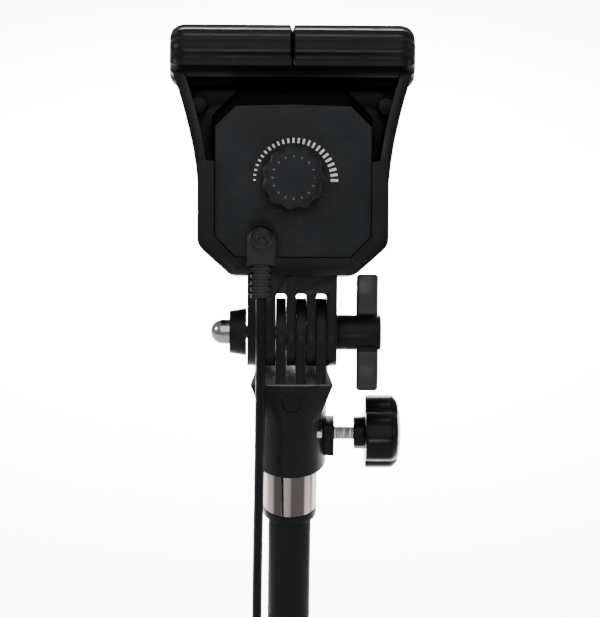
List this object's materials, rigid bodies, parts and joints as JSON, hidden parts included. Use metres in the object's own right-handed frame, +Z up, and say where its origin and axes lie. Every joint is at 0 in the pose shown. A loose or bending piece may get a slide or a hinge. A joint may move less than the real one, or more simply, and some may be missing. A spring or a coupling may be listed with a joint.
{
  "type": "rgb studio light",
  "caption": "Small table spotlight: tilting clamshell lamp head with dimmer, turning clamp socket, sliding column, folding tripod legs and a wound 12 V lead with its mains adapter.",
  "frame": {"origin": "on the table, under the middle of the tripod's footprint", "axes": "+Z up, +Y the way the lamp shines, +X to the right seen from behind the head, on the side of the clamp knobs"},
  "size_m": [0.2778, 0.2513, 0.4175],
  "materials": {
    "casing_black": "satin moulded black",
    "panel_black": "fine textured black",
    "knob_black": "satin moulded black",
    "lever_grey": "satin dark grey",
    "rubber_black": "matt",
    "tube_black": "semi-gloss black",
    "chrome": "mirror",
    "zinc": "zinc plated",
    "brass": "machined",
    "raw_aluminium": "plain",
    "board_green": "lacquered",
    "part_grey": "moulded",
    "lens_clear": "clear",
    "wire_red": "insulated"
  },
  "bodies": {
    "stand": {"hub": "casing_black", "lower_tube": "tube_black", "column_collar": "casing_black", "collar_nut": "zinc", "column_bush": "casing_black", "leg_pin_1": "zinc", "leg_pin_2": "zinc", "leg_pin_3": "zinc", "cord_lead": "rubber_black", "cord_coil": "rubber_black", "adapter_relief": "rubber_black", "power_adapter": "casing_black", "blade_insert": "zinc"},
    "front_leg": {"knuckle_1": "casing_black", "leg_1": "tube_black", "foot_1": "rubber_black"},
    "left_leg": {"knuckle_2": "casing_black", "leg_2": "tube_black", "foot_2": "rubber_black"},
    "right_leg": {"knuckle_3": "casing_black", "leg_3": "tube_black", "foot_3": "rubber_black"},
    "collar_clamp": {"column_knob": "knob_black", "column_knob_screw": "zinc"},
    "column": {"column_tube": "tube_black", "column_guide": "casing_black", "sleeve_bush": "casing_black", "chrome_sleeve": "chrome"},
    "socket": {"socket_body": "casing_black", "clamp_insert": "brass"},
    "socket_clamp": {"clamp_knob": "knob_black", "clamp_screw": "zinc"},
    "head": {"housing_left": "casing_black", "housing_right": "casing_black", "neck_screw_1": "zinc", "neck_screw_2": "zinc", "front_frame": "casing_black", "front_screw_1": "zinc", "front_screw_2": "zinc", "lamp_can": "casing_black", "back_panel": "panel_black", "lens": "lens_clear", "lens_ring": "casing_black", "reflector": "raw_aluminium", "led_board": "raw_aluminium", "heat_sink": "raw_aluminium", "driver_board": "board_green", "board_screw": "zinc", "wire_pair": "wire_red", "dimmer_pot": "part_grey", "pot_nut": "zinc", "dc_socket": "part_grey", "dc_ring": "casing_black", "dc_plug": "rubber_black", "tilt_collar": "casing_black", "acorn_nut": "chrome"},
    "tilt_lever": {"wing_lever": "lever_grey", "pivot_bolt": "zinc"},
    "dimmer": {"dimmer_knob": "knob_black", "dimmer_shaft": "raw_aluminium"}
  },
  "joints": [
    {"name": "front_leg_fold", "type": "hinge", "parent": "stand", "child": "front_leg", "pos_m": [0, -0.013, 0.06], "axis": [-1, 0, 0], "range_deg": [0, 65]},
    {"name": "left_leg_fold", "type": "hinge", "parent": "stand", "child": "left_leg", "pos_m": [-0.02122, -0.04975, 0.06], "axis": [0.5, -0.866, 0], "range_deg": [0, 65]},
    {"name": "right_leg_fold", "type": "hinge", "parent": "stand", "child": "right_leg", "pos_m": [0.02122, -0.04975, 0.06], "axis": [0.5, 0.866, 0], "range_deg": [0, 65]},
    {"name": "collar_knob_turn", "type": "hinge", "parent": "stand", "child": "collar_clamp", "pos_m": [0, -0.0375, 0.1455], "axis": [1, 0, 0], "continuous": true},
    {"name": "column_slide", "type": "slide", "parent": "stand", "child": "column", "axis": [0, 0, 1], "range_m": [-0.05, 0.029], "deforming": ["cord_lead"]},
    {"name": "socket_pan", "type": "hinge", "parent": "column", "child": "socket", "pos_m": [0, -0.0375, 0.33], "axis": [0, 0, 1], "range_deg": [-180, 180], "deforming": ["cord_lead"]},
    {"name": "socket_knob_turn", "type": "hinge", "parent": "socket", "child": "socket_clamp", "pos_m": [0, -0.0375, 0.2872], "axis": [1, 0, 0], "continuous": true},
    {"name": "head_tilt", "type": "hinge", "parent": "socket", "child": "head", "pos_m": [0, -0.0375, 0.33], "axis": [-1, 0, 0], "range_deg": [-60, 61], "deforming": ["cord_lead"]},
    {"name": "lever_turn", "type": "hinge", "parent": "head", "child": "tilt_lever", "pos_m": [0, -0.0375, 0.33], "axis": [1, 0, 0], "continuous": true},
    {"name": "dimmer_turn", "type": "hinge", "parent": "head", "child": "dimmer", "pos_m": [0, -0.01069, 0.37837], "axis": [0, 0.8746, -0.4848], "range_deg": [-140, 140]}
  ]
}
